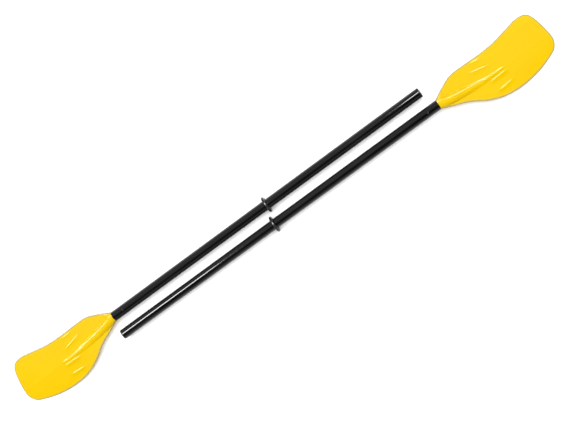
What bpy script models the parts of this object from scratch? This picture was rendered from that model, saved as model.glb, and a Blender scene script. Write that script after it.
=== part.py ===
"""Kayak paddle in two single-bladed halves, lying side by side and head to tail.

The row's frame has X along both shafts, Y across them and Z up. The left half has its blade
towards -X and the right half towards +X. Both blades bulge towards -Y, so the two mouldings
are mirror images, like the two ends of one paddle. The halves lie on Z = 0.

Inside a half, u runs along the shaft from the tube's blade end out to the blade's tip, v runs
across it towards the bulging edge, and w runs up from the shaft's axis.
"""
import math

import bmesh
import bpy
from mathutils import Vector
from mathutils.geometry import interpolate_bezier

# Shaft, metres
TUBE_RADIUS = 0.0125
TUBE_WALL = 0.0015
GRIP_LENGTH = {"left": 0.908, "right": 0.932}    # black part of a half, tube and end plug
GAP = 0.0003                 # between solids that touch
ROUND_STEPS = 32             # facets round the shaft's turned pieces

# Where the halves lie
AXIS_SPACING = 0.0485
NECK_X = 0.4623              # distance of each blade's neck from the middle
RING_RADIUS = 0.0215
AXIS_HEIGHT = RING_RADIUS    # the rings rest on the floor

# Blade
BLADE_LENGTH = 0.3015
PLATE = 0.0036
SPINE_LENGTH = 0.175         # the round neck sinks into the plate over this length
SPINE_WIDTH = 0.012
SPINE_DRIFT = 0.020          # how far the spine's end leans towards the bulging edge
NECK_BLEND = 0.070           # the section turns from round to plate over this length
SPOON_DROP = 0.0174          # how far the tip hangs below the shaft's axis
CROWN_DROP = 0.0045          # how far the edges hang below the middle of the plate
RING_POINTS = 32             # points round one section of the blade
SPAN_STEPS = 3               # sections from one knot of the outline to the next

# Edges of the blade from the neck to the tip, (u, v), millimetres
BULGE_KNOTS = ((0, 12.5), (30, 25), (62, 38), (98, 60.5), (135, 75), (180, 80),
               (228, 75), (265, 64.5), (288, 54), (299, 39))
STRAIGHT_KNOTS = ((0, -12.5), (30, -28), (60, -39.5), (95, -40.5), (135, -40), (180, -42),
                  (222, -49.5), (257, -56), (281, -51.5), (292.5, -33))
TIP_KNOT = (301.5, 22)
BULGE_REACH = 0.001 * max(v for _, v in BULGE_KNOTS)
STRAIGHT_REACH = -0.001 * min(v for _, v in STRAIGHT_KNOTS)

# Spigot of the blade inside the tube, and the snap button in it
SPIGOT_LENGTH = 0.075
SPIGOT_RADIUS = TUBE_RADIUS - TUBE_WALL - GAP
SPIGOT_BORE = 0.0085
SPIGOT_FLOOR = 0.008         # solid end of the spigot next to the blade
BUTTON_U = -0.031
BUTTON_RADIUS = 0.0033
BUTTON_HEIGHT = 0.0022       # of the dome above the tube
BUTTON_COLLAR = 0.0046
COLLAR_TOP = 0.0067
COLLAR_THICK = 0.0014
LEAF_WIDTH = 0.0080
LEAF_THICK = 0.0006
LEAF_BEND_U = -0.064

# Drip ring
RING_LENGTH = 0.0078
RING_BORE = TUBE_RADIUS + GAP
RING_U = {"left": -0.4627, "right": -0.4740}

# End plug
PLUG_FLANGE = 0.0030
PLUG_STEM = 0.024
PLUG_CHAMFER = 0.0008

SIDES = {"left": -1, "right": 1}

COLOURS = {
    "yellow": ((0.95, 0.66, 0.010), 0.30, 0.0),
    "black": ((0.012, 0.012, 0.013), 0.28, 0.0),
    "rubber": ((0.016, 0.016, 0.016), 0.45, 0.0),
    "dark": ((0.030, 0.031, 0.034), 0.35, 0.0),
    "steel": ((0.55, 0.56, 0.58), 0.30, 1.0),
}


def clear_scene():
    for obj in list(bpy.data.objects):
        bpy.data.objects.remove(obj, do_unlink=True)


def new_collection(name):
    collection = bpy.data.collections.new(name)
    bpy.context.scene.collection.children.link(collection)
    return collection


def material(name, colour):
    base, roughness, metallic = COLOURS[colour]
    mat = bpy.data.materials.new(name)
    mat.use_nodes = True
    shader = mat.node_tree.nodes["Principled BSDF"]
    shader.inputs["Base Color"].default_value = (*base, 1.0)
    shader.inputs["Roughness"].default_value = roughness
    shader.inputs["Metallic"].default_value = metallic
    return mat


def add_object(name, mesh, collection, parent, colour=None):
    obj = bpy.data.objects.new(name, mesh)
    collection.objects.link(obj)
    obj.parent = parent
    if colour:
        mesh.materials.append(material(name + "_finish", colour))
    return obj


def as_cutter(obj):
    obj.hide_render = True
    obj.display_type = "WIRE"
    return obj


def shade(obj, angle=30):
    obj.data.shade_smooth()
    obj.data.set_sharp_from_angle(angle=math.radians(angle))


def boolean(obj, other, operation):
    mod = obj.modifiers.new(operation.lower(), "BOOLEAN")
    mod.operation = operation
    mod.solver = "EXACT"
    mod.object = other


def turned(name, profile, side, u, collection, parent, colour=None, closed=False):
    """Turn a profile of (radius, height) pairs, outer side from top to bottom, about the shaft.

    The profile's height grows along u, and u is where its zero height lies."""
    mesh = bpy.data.meshes.new(name)
    points = [(radius, 0.0, height) for radius, height in profile]
    edges = [(i, i + 1) for i in range(len(points) - 1)]
    if closed:
        edges.append((len(points) - 1, 0))
    mesh.from_pydata(points, edges, [])
    obj = add_object(name, mesh, collection, parent, colour)
    obj.location = (side * u, 0.0, 0.0)
    obj.rotation_euler = (0.0, side * math.radians(90), 0.0)
    screw = obj.modifiers.new("turn", "SCREW")
    screw.steps = ROUND_STEPS
    screw.render_steps = ROUND_STEPS
    screw.use_merge_vertices = True
    screw.merge_threshold = 0.00001
    screw.use_smooth_shade = True
    return obj


def upright_pin(name, profile, side, u, collection, parent, colour=None, steps=20):
    """Turn a profile about a vertical line that crosses the shaft's axis at u."""
    obj = turned(name, profile, side, u, collection, parent, colour)
    obj.rotation_euler = (0.0, 0.0, 0.0)
    obj.modifiers["turn"].steps = steps
    obj.modifiers["turn"].render_steps = steps
    return obj


def blade_edges():
    """Points down both edges of the blade, neck to tip, as two lists of (u, v) in metres."""
    outline = list(STRAIGHT_KNOTS) + [TIP_KNOT] + list(reversed(BULGE_KNOTS))
    knots = [Vector(p) * 0.001 for p in outline]
    ahead = knots[1:] + [knots[-1]]
    behind = [knots[0]] + knots[:-1]
    tangents = [(a - b).normalized() for a, b in zip(ahead, behind)]
    points = [knots[0]]
    for i in range(len(knots) - 1):
        reach = (knots[i + 1] - knots[i]).length / 3
        out_handle = knots[i] + tangents[i] * reach
        in_handle = knots[i + 1] - tangents[i + 1] * reach
        span = interpolate_bezier(knots[i], out_handle, in_handle, knots[i + 1], SPAN_STEPS + 1)
        points += [p.to_2d() for p in span[1:]]
    middle = len(points) // 2
    return points[:middle + 1], list(reversed(points[middle:]))


def blade_middle(u, v):
    """Height of the middle of the plate: spooned along the blade and crowned across it."""
    along = max(u, 0.0) / BLADE_LENGTH
    return -SPOON_DROP * along ** 2 - CROWN_DROP * along * (v / STRAIGHT_REACH) ** 2


def blade_half_thickness(u, v, turn):
    """Half the thickness at a point, where turn is the sine of the angle round the section."""
    sunk = max(0.0, 1 - u / SPINE_LENGTH)
    spine = (TUBE_RADIUS - PLATE / 2) * sunk ** 1.5
    aside = v - SPINE_DRIFT * (1 - sunk ** 2)
    plate = PLATE / 2 + spine * math.exp(-(aside / SPINE_WIDTH) ** 2)
    neck = PLATE / 2 + spine
    blend = min(1.0, u / NECK_BLEND)
    blend = blend * blend * (3 - 2 * blend)
    rounded = neck * abs(turn)
    flat = plate * abs(turn) ** 0.4
    return math.copysign(rounded + (flat - rounded) * blend, turn)


def blade_mesh(name, side):
    """Loft from the round neck to the thin plate, closed by a disc at the neck."""
    straight, bulge = blade_edges()
    bm = bmesh.new()
    rings = []
    for low, high in zip(straight[:-1], bulge[:-1]):
        ring = []
        for j in range(RING_POINTS):
            angle = 2 * math.pi * j / RING_POINTS
            point = low.lerp(high, (1 + math.cos(angle)) / 2)
            u, v = point
            w = blade_middle(u, v) + blade_half_thickness(u, v, math.sin(angle))
            ring.append(bm.verts.new((side * (u + GAP), -v, w)))
        rings.append(ring)
    tip_u, tip_v = straight[-1]
    tip = bm.verts.new((side * tip_u, -tip_v, blade_middle(tip_u, tip_v)))
    for near, far in zip(rings[:-1], rings[1:]):
        for j in range(RING_POINTS):
            k = (j + 1) % RING_POINTS
            bm.faces.new((near[j], near[k], far[k], far[j]))
    for j in range(RING_POINTS):
        bm.faces.new((rings[-1][j], rings[-1][(j + 1) % RING_POINTS], tip))
    bm.faces.new(rings[0])
    bmesh.ops.recalc_face_normals(bm, faces=bm.faces)
    mesh = bpy.data.meshes.new(name)
    bm.to_mesh(mesh)
    bm.free()
    return mesh


def make_blade(end, side, parts, cutters, parent):
    """Yellow moulding: plate, neck and the hollow spigot that fits inside the tube."""
    name = "blade_" + end
    blade = add_object(name, blade_mesh(name, side), parts, parent, "yellow")
    rod = [(0, 0.014), (SPIGOT_RADIUS, 0.014), (SPIGOT_RADIUS, -SPIGOT_LENGTH + 0.001),
           (SPIGOT_RADIUS - 0.001, -SPIGOT_LENGTH), (0, -SPIGOT_LENGTH)]
    spigot = as_cutter(turned("spigot_" + end, rod, side, 0.0, cutters, parent))
    bore_profile = [(0, -SPIGOT_FLOOR), (SPIGOT_BORE, -SPIGOT_FLOOR),
                    (SPIGOT_BORE, -SPIGOT_LENGTH - 0.005), (0, -SPIGOT_LENGTH - 0.005)]
    bore = as_cutter(turned("spigot_bore_" + end, bore_profile, side, 0.0, cutters, parent))
    boolean(blade, spigot, "UNION")
    boolean(blade, bore, "DIFFERENCE")
    boolean(blade, button_hole(end, side, cutters, parent), "DIFFERENCE")
    shade(blade, 40)
    return blade


def button_hole(end, side, cutters, parent):
    """Cutter for the hole that the snap button stands in, shared by the tube and the spigot."""
    name = "button_hole_" + end
    if name in bpy.data.objects:
        return bpy.data.objects[name]
    radius = BUTTON_RADIUS + GAP
    profile = [(0, 0.020), (radius, 0.020), (radius, 0.003), (0, 0.003)]
    return as_cutter(upright_pin(name, profile, side, BUTTON_U, cutters, parent))


def make_tube(end, side, parts, cutters, parent):
    """Plain round tube with one hole, from the blade's neck to the end plug."""
    inner = TUBE_RADIUS - TUBE_WALL
    far = -(GRIP_LENGTH[end] - PLUG_FLANGE - GAP)
    profile = [(TUBE_RADIUS, 0), (TUBE_RADIUS, far), (inner, far), (inner, 0)]
    tube = turned("shaft_tube_" + end, profile, side, 0.0, parts, parent, "black", closed=True)
    boolean(tube, button_hole(end, side, cutters, parent), "DIFFERENCE")
    return tube


def make_plug(end, side, parts, parent):
    """Plug in the free end: a flange as wide as the tube, and a stem with a tapered nose."""
    stem = TUBE_RADIUS - TUBE_WALL - GAP
    face = -GRIP_LENGTH[end]
    shoulder = face + PLUG_FLANGE
    nose = shoulder + PLUG_STEM
    profile = [(0, nose), (stem - 0.0015, nose), (stem, nose - 0.003), (stem, shoulder),
               (TUBE_RADIUS, shoulder), (TUBE_RADIUS, face + PLUG_CHAMFER),
               (TUBE_RADIUS - PLUG_CHAMFER, face), (0, face)]
    plug = turned("end_plug_" + end, profile, side, 0.0, parts, parent, "black")
    return plug


def make_ring(end, side, parts, parent):
    """Round-sectioned ring on the shaft, with its origin on the shaft's axis."""
    middle = (RING_BORE + RING_RADIUS) / 2
    reach = (RING_RADIUS - RING_BORE) / 2
    profile = []
    for i in range(12):
        angle = 2 * math.pi * i / 12
        profile.append((middle + reach * math.cos(angle), -RING_LENGTH / 2 * math.sin(angle)))
    name = "drip_ring_" + end
    return turned(name, profile, side, RING_U[end], parts, parent, "rubber", closed=True)


def make_button(end, side, parts, parent):
    """Domed pin through the spigot and the tube, with a collar that stops it inside."""
    top = TUBE_RADIUS + BUTTON_HEIGHT
    rim = top - BUTTON_RADIUS
    dome = []
    for i in range(6):
        angle = math.radians(90 * i / 5)
        dome.append((BUTTON_RADIUS * math.sin(angle), rim + BUTTON_RADIUS * math.cos(angle)))
    low = COLLAR_TOP - COLLAR_THICK
    collar = [(BUTTON_RADIUS, COLLAR_TOP), (BUTTON_COLLAR, COLLAR_TOP), (BUTTON_COLLAR, low), (0, low)]
    return upright_pin("snap_button_" + end, dome + collar, side, BUTTON_U, parts, parent, "dark")


def make_leaf(end, side, parts, parent):
    """V-shaped leaf spring in the spigot's bore: one leg under the button, one on the wall."""
    top = COLLAR_TOP - COLLAR_THICK - GAP - LEAF_THICK / 2
    bottom = -math.sqrt(SPIGOT_BORE ** 2 - (LEAF_WIDTH / 2) ** 2) + GAP + LEAF_THICK / 2
    bend = 0.0030
    path = [(BUTTON_U + 0.006, top), (BUTTON_U - 0.006, top)]
    middle = (bottom + bend, LEAF_BEND_U)
    for i in range(7):
        angle = math.radians(90 + 180 * i / 6)
        path.append((middle[1] + bend * math.cos(angle), middle[0] + bend * math.sin(angle)))
    path.append((BUTTON_U + 0.004, bottom))
    half = LEAF_WIDTH / 2
    points = [(side * u, y, w) for u, w in path for y in (-half, half)]
    faces = [(2 * i, 2 * i + 1, 2 * i + 3, 2 * i + 2) for i in range(len(path) - 1)]
    mesh = bpy.data.meshes.new("snap_spring_" + end)
    mesh.from_pydata(points, [], faces)
    obj = add_object("snap_spring_" + end, mesh, parts, parent, "steel")
    solid = obj.modifiers.new("thickness", "SOLIDIFY")
    solid.thickness = LEAF_THICK
    solid.offset = 0.0
    return obj


def make_half(end, side, parts, cutters):
    """One half, hung on an empty on the shaft's axis at the tube's blade end."""
    across = (BULGE_REACH - STRAIGHT_REACH) / 2
    base = bpy.data.objects.new("half_" + end, None)
    parts.objects.link(base)
    base.location = (side * NECK_X, across - side * AXIS_SPACING / 2, AXIS_HEIGHT)
    make_blade(end, side, parts, cutters, base)
    make_tube(end, side, parts, cutters, base)
    make_plug(end, side, parts, base)
    make_ring(end, side, parts, base)
    make_button(end, side, parts, base)
    make_leaf(end, side, parts, base)


def main():
    clear_scene()
    parts = new_collection("kayak_paddle")
    cutters = new_collection("cutters")
    for end, side in SIDES.items():
        make_half(end, side, parts, cutters)
    bpy.context.view_layer.update()


main()
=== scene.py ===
"""Looks of the kayak paddle: two single-bladed halves lying side by side on a pale floor.

All pieces are built in the frame's metres, at rest. Inside a half, u runs along the shaft from
the tube's blade end out to the blade's tip, v across it towards the bulging edge of the blade,
and w up from the shaft's axis. The left half points its blade along -X and the right half along
+X, and both blades bulge towards -Y.
"""
import math

import bmesh
import bpy
import numpy as np
from mathutils import Matrix, Vector


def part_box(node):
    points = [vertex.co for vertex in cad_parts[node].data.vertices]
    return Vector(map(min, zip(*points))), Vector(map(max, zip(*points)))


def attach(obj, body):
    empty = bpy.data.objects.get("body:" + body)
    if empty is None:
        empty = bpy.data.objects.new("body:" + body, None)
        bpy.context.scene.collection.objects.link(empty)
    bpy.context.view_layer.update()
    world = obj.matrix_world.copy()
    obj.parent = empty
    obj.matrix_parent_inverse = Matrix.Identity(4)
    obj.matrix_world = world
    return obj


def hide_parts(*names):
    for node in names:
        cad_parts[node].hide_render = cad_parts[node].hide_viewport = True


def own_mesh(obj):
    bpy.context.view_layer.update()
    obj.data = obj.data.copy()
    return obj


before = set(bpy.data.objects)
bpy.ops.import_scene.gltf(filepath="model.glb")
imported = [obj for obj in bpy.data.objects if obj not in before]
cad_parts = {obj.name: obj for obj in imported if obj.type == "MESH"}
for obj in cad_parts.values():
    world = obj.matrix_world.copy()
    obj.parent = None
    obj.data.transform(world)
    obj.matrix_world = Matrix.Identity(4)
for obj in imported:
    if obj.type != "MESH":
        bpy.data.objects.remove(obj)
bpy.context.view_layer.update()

MM = 0.001
SIDES = {"left": -1, "right": 1}

# Camera: above the right half, turned so that the shafts run up to the right
CAMERA_PLACE = Vector((0.2915, -0.0736, 2.4038))
CAMERA_TARGET = Vector((0.0220, -0.0042, 0.0200))
CAMERA_TURN = math.radians(-35.895)
CAMERA_LENS = 64.15
SENSOR_WIDTH = 36.0
CLIP_NEAR = 0.05
CLIP_FAR = 100.0

# Light: the room's dark patch (angles in degrees), a wide skylight, and lamps for the glints
ROOM_LIGHT = 0.76
DARK_LIGHT = 0.01
DARK_LEAN = -28
DARK_INNER = 14
DARK_OUTER = 34
DARK_STRETCH = 0.55
SKY_ENERGY = 4.3
SKY_WIDTH = 68
SKY_TILT = 12
STRIP_Y = 0.80
STRIP_Z = 2.40
STRIP_WIDTH = 0.60
RING_LAMP_SIZE = (1.6, 1.3)
WINDOW_PLACE = (-0.4, 2.75, 2.30)
WINDOW_SIZE = (5.6, 0.7)
LINE_RADIANCE = {"left": 34.0, "right": 42.0}
RING_RADIANCE = 60.0
WINDOW_RADIANCE = 112.0

# Floor, half its width and how far it lies under the rings
FLOOR_REACH = 40.0
FLOOR_DROP = 0.0002

# Shaft, and the small gap between pieces that touch
TUBE_RADIUS = 12.5 * MM
TUBE_WALL = 1.5 * MM
TUBE_CHAMFER = 0.35 * MM
GAP = 0.3 * MM
TUBE_STEPS = 96
TUBE_SPANS = 60

# Blade outline from the neck to the tip, (u, v) in millimetres
BULGE_KNOTS = ((0, 12.5), (30, 25), (62, 38), (98, 60.5), (135, 75), (180, 79.9),
               (228, 75), (265, 64.5), (288, 54), (299, 39))
STRAIGHT_KNOTS = ((0, -12.5), (30, -28), (60, -39.5), (95, -40.5), (135, -40), (180, -42),
                  (222, -49.5), (257, -55.9), (281, -51.5), (292.5, -33))
TIP_KNOT = (301.4, 22)

# Blade form
BLADE_LENGTH = 301.5 * MM
PLATE = 3.6 * MM
EDGE_ROUND = 1.8 * MM
SPINE_LENGTH = 175 * MM
SPINE_DRIFT = 20 * MM
NECK_BLEND = 26 * MM
SPOON_DROP = 17.4 * MM
CROWN_DROP = 4.5 * MM
CROWN_WIDTH = 56 * MM

# Blade grid: rows along it, the last of them close together before the tip, and points across.
# The tip's shape comes in over the last TIP_BLEND spans between the outline's knots, and
# EDGE_CROWDING is how strongly the points across draw together near the edges (0 to 1).
STATIONS = 128
TIP_ROWS = 7
TIP_SPAN = 0.12
TIP_BLEND = 1.5
ACROSS = 116
EDGE_CROWDING = 0.30
OUTLINE_POINTS = 420

# Ribs pressed into the inner half of the blade: crest's start and end (u, v) and height, mm.
# Each has a steep flank towards the straight edge and a gentle one towards the bulging edge.
RIBS = (((104, -33), (146, -30), 1.2),
        ((92, -17.5), (151, -4.5), 1.3),
        ((108, 17.5), (180, 17.5), 1.5),
        ((120, 29.5), (178, 26.5), 2.2),
        ((125, 57), (177, 53), 1.9),
        ((130, 76), (170, 74), 0.6))
RIB_STEEP = 2.0 * MM
RIB_GENTLE = 5.5 * MM
RIB_TAPER = 14 * MM
# How far in from the blade's outline the band of painted edge shade reaches
RIM_SHADE_WIDTH = 4.2 * MM

# Spigot and button hole
SPIGOT_LENGTH = 75 * MM
SPIGOT_RADIUS = TUBE_RADIUS - TUBE_WALL - GAP
SPIGOT_ROOT = 12 * MM
SPIGOT_CHAMFER = 1 * MM
SPIGOT_BORE = 8.5 * MM
SPIGOT_FLOOR = 8 * MM
BORE_END = 85 * MM
BUTTON_U = -31 * MM
HOLE_RADIUS = 3.6 * MM
HOLE_MIDDLE = 14 * MM
HOLE_DEPTH = 20 * MM

# Leaf spring under the button: LEAF_TOP and LEAF_BOTTOM are the heights of its legs' middles
LEAF_WIDTH = 8.0 * MM
LEAF_THICK = 0.6 * MM
LEAF_TOP = 4.7 * MM
LEAF_BOTTOM = -6.9 * MM
LEAF_BEND = 3.0 * MM
LEAF_BEND_U = -64 * MM

# Drip ring
RING_RADIUS = 21.5 * MM
RING_BORE = TUBE_RADIUS + GAP
RING_HALF_LENGTH = 3.6 * MM
RING_BEAD = 0.15 * MM
RING_WAVE = 0.28 * MM
RING_POINTS = 28

# End plug
PLUG_FLANGE = 3.0 * MM
PLUG_STEM = 24 * MM
PLUG_TAPER = 1.5 * MM
PLUG_RIM = 0.8 * MM


# ---------------------------------------------------------------- places from the frame

def half_place(end):
    """A half's side, the x of its tube's blade end and of its free end, and its axis's y and z."""
    side = SIDES[end]
    low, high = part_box("shaft_tube_" + end)
    plug_low, plug_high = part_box("end_plug_" + end)
    neck = high.x if side > 0 else low.x
    free = plug_low.x if side > 0 else plug_high.x
    return side, neck, free, (low.y + high.y) / 2, (low.z + high.z) / 2


# ---------------------------------------------------------------- mesh helpers

def smooth(mesh, angle=35):
    """Smooth shading, with edges sharper than the angle in degrees kept crisp."""
    mesh.shade_smooth()
    mesh.set_sharp_from_angle(angle=math.radians(angle))


def finish_mesh(bm, name, angle=35):
    """Turn the bmesh into a shaded object in the scene."""
    bmesh.ops.recalc_face_normals(bm, faces=bm.faces)
    mesh = bpy.data.meshes.new(name)
    bm.to_mesh(mesh)
    bm.free()
    smooth(mesh, angle)
    obj = bpy.data.objects.new(name, mesh)
    bpy.context.scene.collection.objects.link(obj)
    return obj


def revolve(profile, steps, place, wave=None):
    """Closed solid: a closed profile of (u, radius) turned about the shaft's axis."""
    side, x0, y0, z0 = place
    bm = bmesh.new()
    rings = []
    for u, radius in profile:
        if radius < 1e-6:
            rings.append([bm.verts.new((x0 + side * u, y0, z0))])
            continue
        ring = []
        for k in range(steps):
            angle = 2 * math.pi * k / steps
            shift = wave(angle, radius) if wave else 0.0
            ring.append(bm.verts.new((x0 + side * (u + shift), y0 + radius * math.cos(angle),
                                      z0 + radius * math.sin(angle))))
        rings.append(ring)
    pairs = list(zip(rings, rings[1:]))
    if len(rings[0]) > 1 and len(rings[-1]) > 1:
        pairs.append((rings[-1], rings[0]))
    for near, far in pairs:
        for k in range(steps):
            n = (k + 1) % steps
            if len(near) == 1:
                bm.faces.new((near[0], far[n], far[k]))
            elif len(far) == 1:
                bm.faces.new((near[k], near[n], far[0]))
            else:
                bm.faces.new((near[k], near[n], far[n], far[k]))
    return bm


def apply_boolean(obj, cutter, operation):
    """Join the cutter to the object, or cut it out, and remove the cutter."""
    mod = obj.modifiers.new(operation.lower(), "BOOLEAN")
    mod.operation = operation
    mod.solver = "EXACT"
    mod.object = cutter
    bpy.context.view_layer.update()
    evaluated = obj.evaluated_get(bpy.context.evaluated_depsgraph_get())
    mesh = bpy.data.meshes.new_from_object(evaluated)
    obj.modifiers.clear()
    smooth(mesh)
    obj.data = mesh
    bpy.data.objects.remove(cutter, do_unlink=True)


def button_cutter(end):
    """Pin that cuts the button's hole through the upper wall of the tube and of the spigot."""
    side, neck, _, y0, z0 = half_place(end)
    bm = bmesh.new()
    bmesh.ops.create_cone(bm, cap_ends=True, segments=40, radius1=HOLE_RADIUS,
                          radius2=HOLE_RADIUS, depth=HOLE_DEPTH)
    middle = (neck + side * BUTTON_U, y0, z0 + HOLE_MIDDLE)
    bmesh.ops.translate(bm, verts=bm.verts, vec=middle)
    return finish_mesh(bm, "hole_" + end)


# ---------------------------------------------------------------- blade

def smooth_step(x):
    x = np.clip(x, 0.0, 1.0)
    return x * x * (3 - 2 * x)


def outline_spans():
    """The outline's Bezier spans in order: down the straight edge, over the tip, up the bulge."""
    points = STRAIGHT_KNOTS + (TIP_KNOT,) + BULGE_KNOTS[::-1]
    knots = [Vector(p) * MM for p in points]
    ahead = knots[1:] + [knots[-1]]
    behind = [knots[0]] + knots[:-1]
    tangents = [(a - b).normalized() for a, b in zip(ahead, behind)]
    spans = []
    for i in range(len(knots) - 1):
        reach = (knots[i + 1] - knots[i]).length / 3
        spans.append((knots[i], knots[i] + tangents[i] * reach,
                      knots[i + 1] - tangents[i + 1] * reach, knots[i + 1]))
    return spans


def span_point(span, t):
    """Point on a cubic Bezier span."""
    a, b, c, d = (np.array(p) for p in span)
    s = 1 - t
    return a * s ** 3 + 3 * b * s * s * t + 3 * c * s * t * t + d * t ** 3


def side_curve(spans, values):
    """Points at the given values, where whole numbers are the knots."""
    points = []
    for value in values:
        i = min(int(value), len(spans) - 1)
        points.append(span_point(spans[i], value - i))
    return np.array(points)


def whole_outline():
    """Points along the blade's whole outline, from one side of the neck to the other."""
    spans = outline_spans()
    return side_curve(spans, np.linspace(0, len(spans), OUTLINE_POINTS))


def edge_distance(points, outline):
    """Shortest distance from each point to the blade's outline."""
    best = np.full(points.shape[:-1], np.inf)
    for start, run in zip(outline[:-1], np.diff(outline, axis=0)):
        rel = points - start
        t = np.clip((rel @ run) / (run @ run), 0, 1)
        gap = rel - t[..., None] * run
        best = np.minimum(best, np.sqrt((gap ** 2).sum(-1)))
    return best


def rib_height(u, v):
    """Height of the pressed ribs over the plain plate."""
    total = np.zeros_like(u)
    for (u0, v0), (u1, v1), height in RIBS:
        crest = (v0 + (v1 - v0) * (u / MM - u0) / (u1 - u0)) * MM
        ends = smooth_step((u - u0 * MM) / RIB_TAPER) * smooth_step((u1 * MM - u) / RIB_TAPER)
        width = np.where(v < crest, RIB_STEEP, RIB_GENTLE)
        total = total + height * MM * ends * np.exp(-((v - crest) / width) ** 2)
    return total


def blade_grid():
    """Grid of (u, v) over the blade, with the half thickness and the middle height at each."""
    spans = outline_spans()
    count = len(STRAIGHT_KNOTS) - 1
    straight_spans = spans[:count]
    tip_spans = spans[count:count + 2]
    bulge_spans = [tuple(reversed(s)) for s in reversed(spans[count + 2:])]
    closing = 1 - np.cos(np.linspace(math.pi / 2, 0, TIP_ROWS))
    inner = np.linspace(0, count - TIP_SPAN, STATIONS - TIP_ROWS)
    values = np.unique(np.concatenate([inner, count - TIP_SPAN * closing[1:], [count]]))
    low = side_curve(straight_spans, values)
    high = side_curve(bulge_spans, values)
    theta = np.linspace(0, math.pi, ACROSS + 1)
    round_f = (1 - np.cos(theta)) / 2
    even = np.linspace(0, 1, ACROSS + 1)
    flat_f = EDGE_CROWDING * round_f + (1 - EDGE_CROWDING) * even
    tip = side_curve(tip_spans, 2 * even)
    chord = tip[0] + (tip[-1] - tip[0]) * even[:, None]
    bow = tip - chord
    grid, rounds = [], []
    for value, a, b in zip(values, low, high):
        reach = (a[0] + b[0]) / 2
        blend = smooth_step(reach / NECK_BLEND)
        f = round_f + (flat_f - round_f) * blend
        line = a + (b - a) * f[:, None]
        lift = smooth_step((value - count + TIP_BLEND) / TIP_BLEND)
        bent = np.stack([np.interp(f, even, bow[:, k]) for k in (0, 1)], 1)
        grid.append(line + bent * lift)
        rounds.append(np.sqrt(np.clip(1 - (2 * f - 1) ** 2, 0, 1)))
    grid, rounds = np.array(grid), np.array(rounds)
    u, v = grid[..., 0], grid[..., 1]
    sunk = np.clip(1 - u / SPINE_LENGTH, 0, 1)
    spine = (TUBE_RADIUS - PLATE / 2) * sunk ** 1.5
    aside = v - SPINE_DRIFT * (1 - sunk ** 2)
    arc = np.sqrt(np.clip(TUBE_RADIUS ** 2 - aside ** 2, 0, None)) - TUBE_RADIUS + spine + PLATE / 2
    plate = ((PLATE / 2) ** 6 + np.clip(arc, 0, None) ** 6) ** (1 / 6)
    gap = np.clip(edge_distance(grid, whole_outline()) / EDGE_ROUND, 0, 1)
    rim_shape = np.sqrt(np.clip(1 - (1 - gap) ** 2, 0, 1))
    flat = plate * rim_shape
    neck = (PLATE / 2 + spine) * rounds
    mix = smooth_step(u / NECK_BLEND)
    half = neck + (flat - neck) * mix
    along = np.clip(u, 0, None) / BLADE_LENGTH
    middle = -SPOON_DROP * along ** 2 - CROWN_DROP * along * (v / CROWN_WIDTH) ** 2
    middle = middle + rib_height(u, v) * rim_shape
    return u, v, half, middle


def blade_mesh(end):
    """The plate with its neck: top and bottom skins that share the rim's points."""
    side, neck_x, _, y0, z0 = half_place(end)
    u, v, half, middle = blade_grid()
    rows, cols = u.shape
    bm = bmesh.new()

    def corner(i, j, sign):
        return bm.verts.new((neck_x + side * (u[i, j] + GAP), y0 - v[i, j],
                             z0 + middle[i, j] + sign * half[i, j]))

    top, bottom = {}, {}
    for i in range(rows):
        for j in range(cols):
            top[i, j] = corner(i, j, 1)
            rim = j in (0, cols - 1) or i == rows - 1
            bottom[i, j] = top[i, j] if rim else corner(i, j, -1)
    for skin in (top, bottom):
        for i in range(rows - 1):
            for j in range(cols - 1):
                bm.faces.new((skin[i, j], skin[i, j + 1], skin[i + 1, j + 1], skin[i + 1, j]))
    neck_ring = [top[0, j] for j in range(cols)] + [bottom[0, j] for j in range(cols - 2, 0, -1)]
    bm.faces.new(neck_ring)
    bmesh.ops.dissolve_degenerate(bm, edges=bm.edges, dist=1e-7)
    return finish_mesh(bm, "blade_moulding_" + end, 50)


def mark_rim(blade, end):
    """Store on each point how near it is to the blade's outline, for the band of painted shade at
    the rim.
    """
    side, neck, _, y0, _ = half_place(end)
    count = len(blade.data.vertices)
    places = np.empty(count * 3, dtype=np.float32)
    blade.data.vertices.foreach_get("co", places)
    places = places.reshape(count, 3).astype(float)
    flat = np.stack([side * (places[:, 0] - neck) - GAP, y0 - places[:, 1]], 1)
    near = np.clip(1 - edge_distance(flat, whole_outline()) / RIM_SHADE_WIDTH, 0, 1)
    near[flat[:, 0] < 0] = 0
    mark = blade.data.attributes.new("rim", "FLOAT", "POINT")
    mark.data.foreach_set("value", near.astype(np.float32))


def make_blade(end, mat):
    """Blade with its hollow spigot inside the tube, and the button's hole through that."""
    side, neck, _, y0, z0 = half_place(end)
    blade = blade_mesh(end)
    place = (side, neck, y0, z0)
    rod = [(SPIGOT_ROOT, 0), (SPIGOT_ROOT, SPIGOT_RADIUS),
           (-SPIGOT_LENGTH + SPIGOT_CHAMFER, SPIGOT_RADIUS),
           (-SPIGOT_LENGTH, SPIGOT_RADIUS - SPIGOT_CHAMFER), (-SPIGOT_LENGTH, 0)]
    bore = [(-SPIGOT_FLOOR, 0), (-SPIGOT_FLOOR, SPIGOT_BORE), (-BORE_END, SPIGOT_BORE),
            (-BORE_END, 0)]
    apply_boolean(blade, finish_mesh(revolve(rod, 64, place), "rod_" + end), "UNION")
    apply_boolean(blade, finish_mesh(revolve(bore, 64, place), "bore_" + end), "DIFFERENCE")
    apply_boolean(blade, button_cutter(end), "DIFFERENCE")
    mark_rim(blade, end)
    dress(blade, mat, "half_" + end, "blade_" + end)
    return blade


# ---------------------------------------------------------------- shaft pieces

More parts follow.
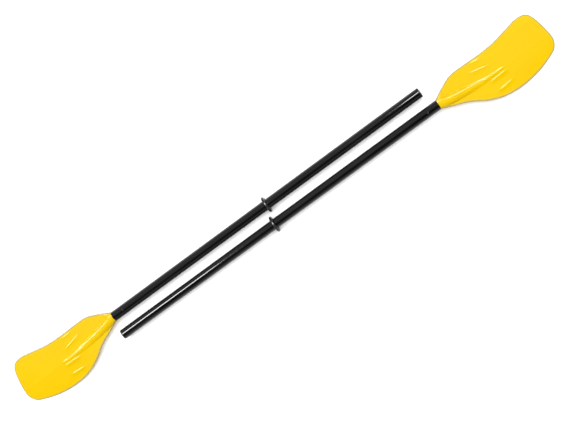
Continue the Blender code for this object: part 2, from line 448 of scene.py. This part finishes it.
def make_tube(end, mat):
    """Tube with chamfered ends and the button's hole, in many spans so that it shades evenly."""
    side, neck, free, y0, z0 = half_place(end)
    inner = TUBE_RADIUS - TUBE_WALL
    far = -(abs(free - neck) - PLUG_FLANGE - GAP)
    c = TUBE_CHAMFER
    outside = [(u, TUBE_RADIUS) for u in np.linspace(-c, far + c, TUBE_SPANS + 1)]
    profile = outside + [(far, TUBE_RADIUS - c), (far, inner), (0, inner), (0, TUBE_RADIUS - c)]
    bm = revolve(profile, TUBE_STEPS, (side, neck, y0, z0))
    tube = finish_mesh(bm, "tube_" + end)
    apply_boolean(tube, button_cutter(end), "DIFFERENCE")
    dress(tube, mat, "half_" + end, "shaft_tube_" + end)
    return tube


def make_plug(end, mat):
    """Plug with a rounded rim, and a shallow dish in its face from the mould."""
    side, _, free, y0, z0 = half_place(end)
    stem = TUBE_RADIUS - TUBE_WALL - GAP
    shoulder = TUBE_RADIUS - PLUG_RIM
    profile = [(0.55 * MM, 0), (0.50 * MM, 6.5 * MM), (0, 7.5 * MM), (0, shoulder)]
    for k in range(1, 6):
        angle = math.radians(90 * k / 5)
        profile.append((PLUG_RIM - PLUG_RIM * math.cos(angle),
                        shoulder + PLUG_RIM * math.sin(angle)))
    profile += [(PLUG_FLANGE, TUBE_RADIUS), (PLUG_FLANGE, stem), (PLUG_STEM, stem),
                (PLUG_FLANGE + PLUG_STEM, stem - PLUG_TAPER), (PLUG_FLANGE + PLUG_STEM, 0)]
    bm = revolve(profile, 72, (side, free, y0, z0))
    plug = finish_mesh(bm, "plug_" + end)
    dress(plug, mat, "half_" + end, "end_plug_" + end)
    return plug


def make_ring(end, mat):
    """Soft ring with a thin flash line round its rim, and slightly wavy across the shaft."""
    side, _, _, y0, z0 = half_place(end)
    low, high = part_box("drip_ring_" + end)
    middle = (RING_BORE + RING_RADIUS - RING_BEAD) / 2
    reach = middle - RING_BORE
    profile = []
    for k in range(RING_POINTS):
        angle = 2 * math.pi * k / RING_POINTS
        bead = RING_BEAD if k == 0 else 0.0
        profile.append((RING_HALF_LENGTH * math.sin(angle),
                        middle + (reach + bead) * math.cos(angle)))
    profile.reverse()

    def wave(angle, radius):
        share = (radius - RING_BORE) / (RING_RADIUS - RING_BORE)
        return RING_WAVE * math.sin(2 * angle + 0.7) * share

    place = (side, (low.x + high.x) / 2, y0, z0)
    ring = finish_mesh(revolve(profile, 96, place, wave), "ring_" + end, 40)
    dress(ring, mat, "ring_" + end, "drip_ring_" + end)
    return ring


def leaf_path():
    """Middle line of the leaf as (u, w), from the button back to the bend and out again."""
    path = [(BUTTON_U + 6 * MM, LEAF_TOP), (BUTTON_U - 6 * MM, LEAF_TOP)]
    for k in range(13):
        angle = math.radians(90 + 15 * k)
        path.append((LEAF_BEND_U + LEAF_BEND * math.cos(angle),
                     LEAF_BOTTOM + LEAF_BEND + LEAF_BEND * math.sin(angle)))
    path.append((BUTTON_U + 4 * MM, LEAF_BOTTOM))
    return [Vector(p) for p in path]


def make_leaf(end, mat):
    """V-shaped steel strip in the spigot's bore, which on the real paddle flattens when its button
    is pressed; here it keeps its rest shape.
    """
    side, neck, _, y0, z0 = half_place(end)
    path = leaf_path()
    bm = bmesh.new()
    sections = []
    for i, point in enumerate(path):
        run = (path[min(i + 1, len(path) - 1)] - path[max(i - 1, 0)]).normalized()
        across = Vector((-run.y, run.x)) * LEAF_THICK / 2
        section = []
        for shift, half in ((across, 1), (across, -1), (-across, -1), (-across, 1)):
            spot = point + shift
            section.append(bm.verts.new((neck + side * spot.x, y0 + half * LEAF_WIDTH / 2,
                                         z0 + spot.y)))
        sections.append(section)
    for near, far in zip(sections, sections[1:]):
        for k in range(4):
            n = (k + 1) % 4
            bm.faces.new((near[k], near[n], far[n], far[k]))
    bm.faces.new(sections[0])
    bm.faces.new(sections[-1])
    leaf = finish_mesh(bm, "leaf_" + end)
    dress(leaf, mat, "half_" + end, "snap_spring_" + end)
    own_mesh(leaf)
    return leaf


def dress(piece, mat, body, node):
    """Give the piece its material, hang it on the body that it rides on, and hide the part in
    model.glb that it stands for.
    """
    piece.data.materials.clear()
    piece.data.materials.append(mat)
    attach(piece, body)
    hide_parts(node)


# ---------------------------------------------------------------- materials

def new_material(name, base, roughness, metallic=0.0):
    """Principled material with its node tree and shader."""
    mat = bpy.data.materials.new(name)
    mat.use_nodes = True
    tree = mat.node_tree
    shader = tree.nodes["Principled BSDF"]
    shader.inputs["Base Color"].default_value = (*base, 1.0)
    shader.inputs["Roughness"].default_value = roughness
    shader.inputs["Metallic"].default_value = metallic
    return mat, tree, shader


def noise(tree, scale, detail=3.0, stretch=(1, 1, 1)):
    """Noise in object space, drawn out by the stretch."""
    coords = tree.nodes.new("ShaderNodeTexCoord")
    mapping = tree.nodes.new("ShaderNodeMapping")
    mapping.inputs["Scale"].default_value = stretch
    tree.links.new(coords.outputs["Object"], mapping.inputs["Vector"])
    node = tree.nodes.new("ShaderNodeTexNoise")
    node.inputs["Scale"].default_value = scale
    node.inputs["Detail"].default_value = detail
    tree.links.new(mapping.outputs["Vector"], node.inputs["Vector"])
    return node.outputs["Fac"]


def ramp(tree, value, stops):
    """Colour ramp with (place, colour) stops."""
    node = tree.nodes.new("ShaderNodeValToRGB")
    elements = node.color_ramp.elements
    for element, (place, colour) in zip(elements, (stops[0], stops[-1])):
        element.position = place
        element.color = (*colour, 1)
    for place, colour in stops[1:-1]:
        elements.new(place).color = (*colour, 1)
    tree.links.new(value, node.inputs["Fac"])
    return node.outputs["Color"]


def spread(tree, value, low, high, start=0.3, stop=0.7):
    """Map a 0 to 1 value on to a range."""
    node = tree.nodes.new("ShaderNodeMapRange")
    node.inputs["From Min"].default_value = start
    node.inputs["From Max"].default_value = stop
    node.inputs["To Min"].default_value = low
    node.inputs["To Max"].default_value = high
    tree.links.new(value, node.inputs["Value"])
    return node.outputs["Result"]


def bump(tree, value, distance, below=None):
    """Bump of the given depth in metres, on top of the normal below it."""
    node = tree.nodes.new("ShaderNodeBump")
    node.inputs["Distance"].default_value = distance
    node.inputs["Strength"].default_value = 1.0
    tree.links.new(value, node.inputs["Height"])
    if below is not None:
        tree.links.new(below, node.inputs["Normal"])
    return node.outputs["Normal"]


def yellow_plastic():
    """Glossy moulded yellow with faint flow marks and fine handling scratches, and painted shade in
    a dark olive-grey band along the blade's outline.
    """
    mat, tree, shader = new_material("yellow_plastic", (0.545, 0.350, 0.0006), 0.20)
    flow = noise(tree, 9.0, 4.0, (1.0, 2.2, 1.0))
    colour = ramp(tree, flow, ((0.25, (0.530, 0.338, 0.0004)), (0.50, (0.545, 0.350, 0.0006)),
                               (0.80, (0.557, 0.362, 0.0010))))
    # Painted shade: near the blade's outline the colour is mixed towards dark olive-grey, standing
    # in for the shaded edge and its contact shadow
    rim = tree.nodes.new("ShaderNodeAttribute")
    rim.attribute_name = "rim"
    painted_rim_shade = tree.nodes.new("ShaderNodeMix")
    painted_rim_shade.data_type = "RGBA"
    tree.links.new(spread(tree, rim.outputs["Fac"], 0.0, 0.85, 0.0, 0.6), painted_rim_shade.inputs["Factor"])
    tree.links.new(colour, painted_rim_shade.inputs["A"])
    painted_rim_shade.inputs["B"].default_value = (0.26, 0.23, 0.10, 1.0)
    tree.links.new(painted_rim_shade.outputs["Result"], shader.inputs["Base Color"])
    tree.links.new(spread(tree, noise(tree, 60.0, 5.0), 0.17, 0.25), shader.inputs["Roughness"])
    grain = bump(tree, noise(tree, 900.0, 2.0), 0.00003)
    scratches = noise(tree, 260.0, 3.0, (0.12, 1.0, 1.0))
    tree.links.new(bump(tree, scratches, 0.00005, grain), shader.inputs["Normal"])
    shader.inputs["Specular IOR Level"].default_value = 0.07
    return mat


def black_plastic():
    """Black extruded tube: fine lines along it, with duller rubbed patches."""
    mat, tree, shader = new_material("black_plastic", (0.0015, 0.0015, 0.0017), 0.08)
    lines = noise(tree, 520.0, 2.0, (0.012, 1.0, 1.0))
    rubbed = noise(tree, 26.0, 5.0, (0.5, 1.0, 1.0))
    colour = ramp(tree, rubbed, ((0.30, (0.0010, 0.0010, 0.0012)),
                                 (0.75, (0.0028, 0.0028, 0.0031))))
    tree.links.new(colour, shader.inputs["Base Color"])
    tree.links.new(spread(tree, rubbed, 0.07, 0.12), shader.inputs["Roughness"])
    tree.links.new(bump(tree, lines, 0.00002), shader.inputs["Normal"])
    shader.inputs["Specular IOR Level"].default_value = 0.35
    return mat


def plug_plastic():
    """Satin black moulding with a fine spark-eroded grain."""
    mat, tree, shader = new_material("plug_plastic", (0.012, 0.012, 0.013), 0.38)
    tree.links.new(spread(tree, noise(tree, 120.0, 3.0), 0.32, 0.46), shader.inputs["Roughness"])
    tree.links.new(bump(tree, noise(tree, 1800.0, 1.0), 0.00005), shader.inputs["Normal"])
    return mat


def ring_rubber():
    """Smooth black rubber, a little dusty in places."""
    mat, tree, shader = new_material("ring_rubber", (0.0025, 0.0025, 0.0025), 0.22)
    dust = noise(tree, 70.0, 4.0)
    colour = ramp(tree, dust, ((0.35, (0.0020, 0.0020, 0.0020)),
                               (0.80, (0.0050, 0.0050, 0.0048))))
    tree.links.new(colour, shader.inputs["Base Color"])
    tree.links.new(spread(tree, dust, 0.18, 0.28), shader.inputs["Roughness"])
    shader.inputs["Specular IOR Level"].default_value = 0.32
    tree.links.new(bump(tree, noise(tree, 1400.0, 2.0), 0.00003), shader.inputs["Normal"])
    return mat


def button_plastic():
    """Satin dark grey nylon."""
    mat, tree, shader = new_material("button_plastic", (0.006, 0.0065, 0.0075), 0.28)
    tree.links.new(spread(tree, noise(tree, 300.0, 3.0), 0.24, 0.40), shader.inputs["Roughness"])
    tree.links.new(bump(tree, noise(tree, 2200.0, 1.0), 0.00002), shader.inputs["Normal"])
    return mat


def spring_steel():
    """Rolled spring strip with fine lines along it."""
    mat, tree, shader = new_material("spring_steel", (0.52, 0.53, 0.55), 0.28, 1.0)
    rolled = noise(tree, 900.0, 2.0, (0.05, 1.0, 1.0))
    tree.links.new(spread(tree, rolled, 0.20, 0.38), shader.inputs["Roughness"])
    tree.links.new(bump(tree, rolled, 0.00001), shader.inputs["Normal"])
    return mat


def floor_paper():
    """White studio paper with a barely visible tooth."""
    mat, tree, shader = new_material("floor_paper", (0.93, 0.93, 0.93), 0.9)
    tree.links.new(bump(tree, noise(tree, 300.0, 2.0), 0.00005), shader.inputs["Normal"])
    shader.inputs["Specular IOR Level"].default_value = 0.0
    return mat


# ---------------------------------------------------------------- camera, floor and light

def make_camera():
    """Camera that looks at the target, with its right-hand side along the camera's turn."""
    data = bpy.data.cameras.new("camera")
    data.lens = CAMERA_LENS
    data.sensor_width = SENSOR_WIDTH
    data.clip_start = CLIP_NEAR
    data.clip_end = CLIP_FAR
    camera = bpy.data.objects.new("camera", data)
    bpy.context.scene.collection.objects.link(camera)
    back = (CAMERA_PLACE - CAMERA_TARGET).normalized()
    level = Vector((math.cos(CAMERA_TURN), math.sin(CAMERA_TURN), 0.0))
    right = (level - back * level.dot(back)).normalized()
    up = back.cross(right)
    turn = Matrix((right, up, back)).transposed().to_4x4()
    camera.matrix_world = Matrix.Translation(CAMERA_PLACE) @ turn
    bpy.context.scene.camera = camera


def make_floor():
    """Plain floor that reaches past the edges of every view from above."""
    bm = bmesh.new()
    bmesh.ops.create_grid(bm, x_segments=1, y_segments=1, size=FLOOR_REACH)
    floor = finish_mesh(bm, "floor")
    floor.location.z = -FLOOR_DROP
    floor.data.materials.append(floor_paper())


def aim(lamp, place, target):
    """Put the lamp at a place with its long side level along X and its light towards the target."""
    back = (Vector(place) - Vector(target)).normalized()
    side = (Vector((1, 0, 0)) - back * back.x).normalized()
    lamp.location = place
    lamp.rotation_mode = "QUATERNION"
    lamp.rotation_quaternion = Matrix((side, back.cross(side), back)).transposed().to_quaternion()


def make_sky():
    """Wide soft daylight from high on the +Y side, too broad to be seen in the glossy plastic."""
    data = bpy.data.lights.new("skylight", "SUN")
    data.energy = SKY_ENERGY
    data.angle = math.radians(SKY_WIDTH)
    lamp = bpy.data.objects.new("skylight", data)
    bpy.context.scene.collection.objects.link(lamp)
    tilt = math.radians(SKY_TILT)
    aim(lamp, (0.0, 3 * math.sin(tilt), 3 * math.cos(tilt)), (0, 0, 0))
    lamp.visible_glossy = False


def panel(name, place, size, radiance, pieces):
    """Rectangular lamp that only lights the given pieces. Its power follows from its radiance."""
    data = bpy.data.lights.new(name, "AREA")
    data.shape = "RECTANGLE"
    data.size, data.size_y = size
    data.energy = radiance * math.pi * size[0] * size[1]
    lamp = bpy.data.objects.new(name, data)
    bpy.context.scene.collection.objects.link(lamp)
    aim(lamp, place, (place[0] / 2, 0, 0))
    group = bpy.data.collections.new(name + "_lit")
    for piece in pieces:
        group.objects.link(piece)
    lamp.light_linking.receiver_collection = group
    return lamp


def make_panels(tubes, plugs, rings, blades):
    """White lines along the shafts' free ends, and glints on the rings and the blades' ribs.

    Each strip hangs out beyond the free end that it lights: the right half's free end is at -X.
    """
    panel("strip_left", (-1.30, STRIP_Y, STRIP_Z), (1.20, STRIP_WIDTH),
          LINE_RADIANCE["right"], [tubes["right"], plugs["right"]])
    panel("strip_right", (1.05, STRIP_Y, STRIP_Z), (1.10, STRIP_WIDTH),
          LINE_RADIANCE["left"], [tubes["left"], plugs["left"]])
    panel("ring_lamp", (-0.30, STRIP_Y, STRIP_Z), RING_LAMP_SIZE, RING_RADIANCE,
          list(rings.values()))
    window = panel("window", WINDOW_PLACE, WINDOW_SIZE, WINDOW_RADIANCE, list(blades.values()))
    window.visible_diffuse = False


def make_world():
    """Light grey room with a dark patch overhead, towards -Y, where the photographer stands."""
    world = bpy.data.worlds.new("room")
    bpy.context.scene.world = world
    world.use_nodes = True
    tree = world.node_tree
    background = tree.nodes["Background"]
    coords = tree.nodes.new("ShaderNodeTexCoord")
    squeeze = tree.nodes.new("ShaderNodeVectorMath")
    squeeze.operation = "MULTIPLY"
    squeeze.inputs[1].default_value = (DARK_STRETCH, 1.0, 1.0)
    tree.links.new(coords.outputs["Generated"], squeeze.inputs[0])
    unit = tree.nodes.new("ShaderNodeVectorMath")
    unit.operation = "NORMALIZE"
    tree.links.new(squeeze.outputs["Vector"], unit.inputs[0])
    toward = tree.nodes.new("ShaderNodeVectorMath")
    toward.operation = "DOT_PRODUCT"
    lean = math.radians(DARK_LEAN)
    toward.inputs[1].default_value = (0.0, math.sin(lean), math.cos(lean))
    tree.links.new(unit.outputs["Vector"], toward.inputs[0])
    level = spread(tree, toward.outputs["Value"], ROOM_LIGHT, DARK_LIGHT,
                   math.cos(math.radians(DARK_OUTER)), math.cos(math.radians(DARK_INNER)))
    tree.links.new(level, background.inputs["Strength"])
    background.inputs["Color"].default_value = (1.0, 1.0, 1.0, 1.0)


# ---------------------------------------------------------------- the scene

def main():
    yellow, black = yellow_plastic(), black_plastic()
    plug, rubber = plug_plastic(), ring_rubber()
    button, steel = button_plastic(), spring_steel()
    tubes, plugs, rings, blades = {}, {}, {}, {}
    for end in SIDES:
        blades[end] = make_blade(end, yellow)
        tubes[end] = make_tube(end, black)
        plugs[end] = make_plug(end, plug)
        rings[end] = make_ring(end, rubber)
        make_leaf(end, steel)
        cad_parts["snap_button_" + end].material_slots[0].material = button
    make_camera()
    make_floor()
    make_world()
    make_sky()
    make_panels(tubes, plugs, rings, blades)
    bpy.context.scene.view_settings.view_transform = "Standard"


main()
